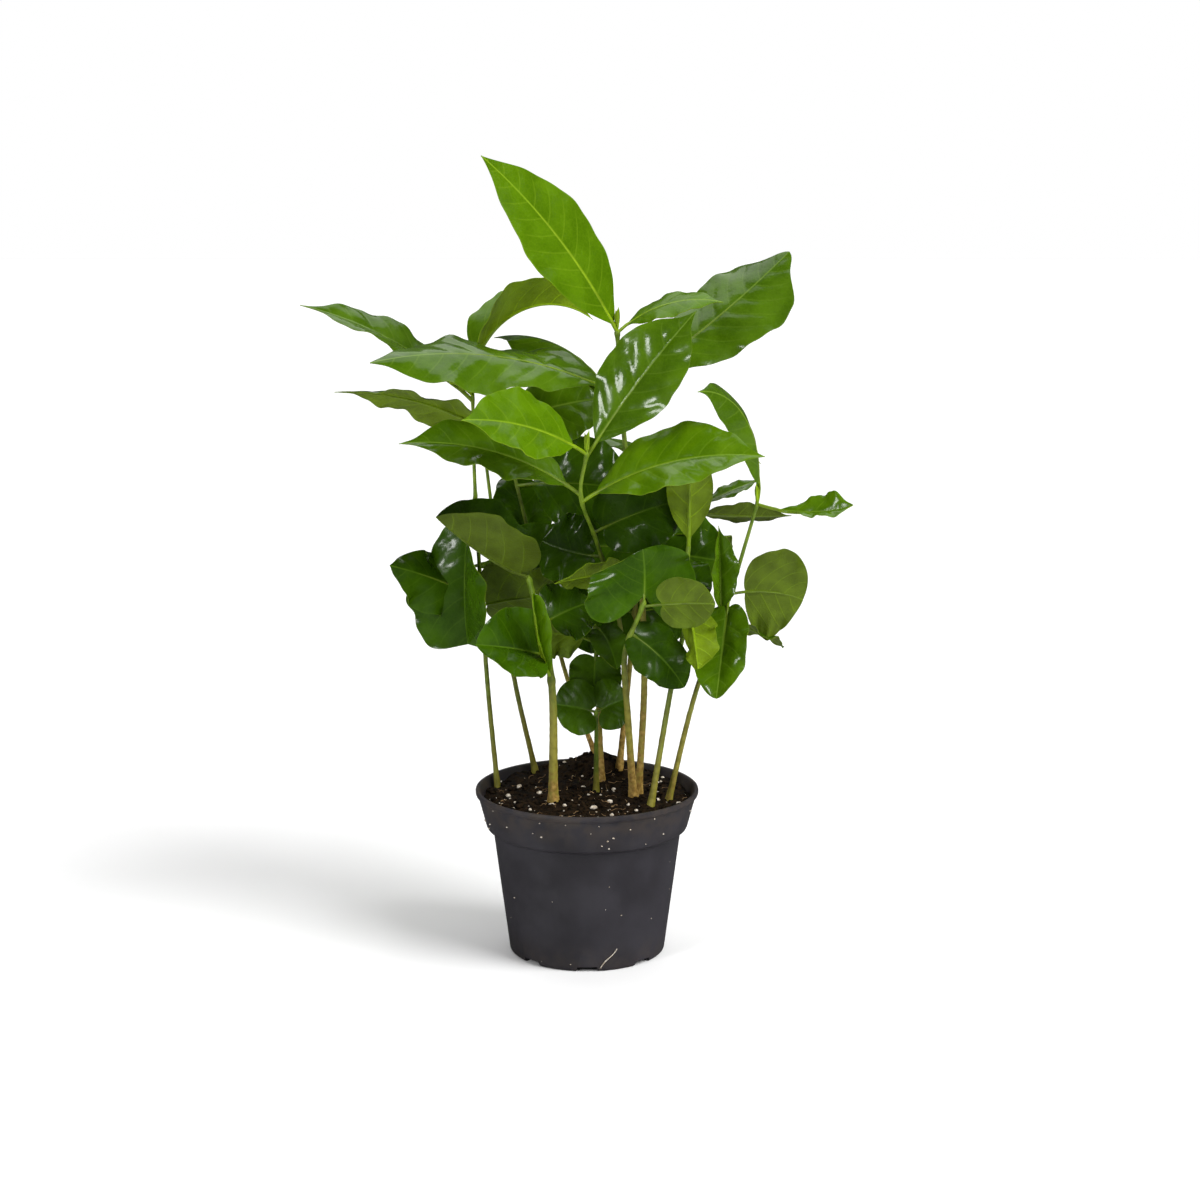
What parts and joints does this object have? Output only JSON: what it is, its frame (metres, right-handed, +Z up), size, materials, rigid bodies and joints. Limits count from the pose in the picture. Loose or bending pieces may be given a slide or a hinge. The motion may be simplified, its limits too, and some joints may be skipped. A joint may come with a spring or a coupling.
{
  "type": "potted coffee plant",
  "caption": "Young coffee seedlings with glossy, veined green leaves on slim stems, grown together in dark soil in a round black nursery pot.",
  "frame": {"origin": "centre of the pot's flat underside", "axes": "+Z up; the plant's best side, the one in the picture, looks towards -Y, and +X is to its right"},
  "size_m": [0.289, 0.1927, 0.4256],
  "materials": {
    "pot_plastic": "satin",
    "peat": "rough, damp",
    "stem_skin": "satin",
    "leaf_green": "glossy"
  },
  "bodies": {
    "root": {"pot": "pot_plastic", "soil": "peat", "stem_tall": "stem_skin", "leaves_tall": "leaf_green", "stem_centre": "stem_skin", "leaves_centre": "leaf_green", "stem_far_left": "stem_skin", "leaves_far_left": "leaf_green", "stem_back_left": "stem_skin", "leaves_back_left": "leaf_green", "stem_back_middle": "stem_skin", "leaves_back_middle": "leaf_green", "stem_front_left": "stem_skin", "leaves_front_left": "leaf_green", "stem_small_front": "stem_skin", "leaves_small_front": "leaf_green", "stem_middle": "stem_skin", "leaves_middle": "leaf_green", "stem_back_right": "stem_skin", "leaves_back_right": "leaf_green", "stem_front_centre": "stem_skin", "leaves_front_centre": "leaf_green", "stem_front_right": "stem_skin", "leaves_front_right": "leaf_green", "stem_right": "stem_skin", "leaves_right": "leaf_green"}
  },
  "joints": []
}
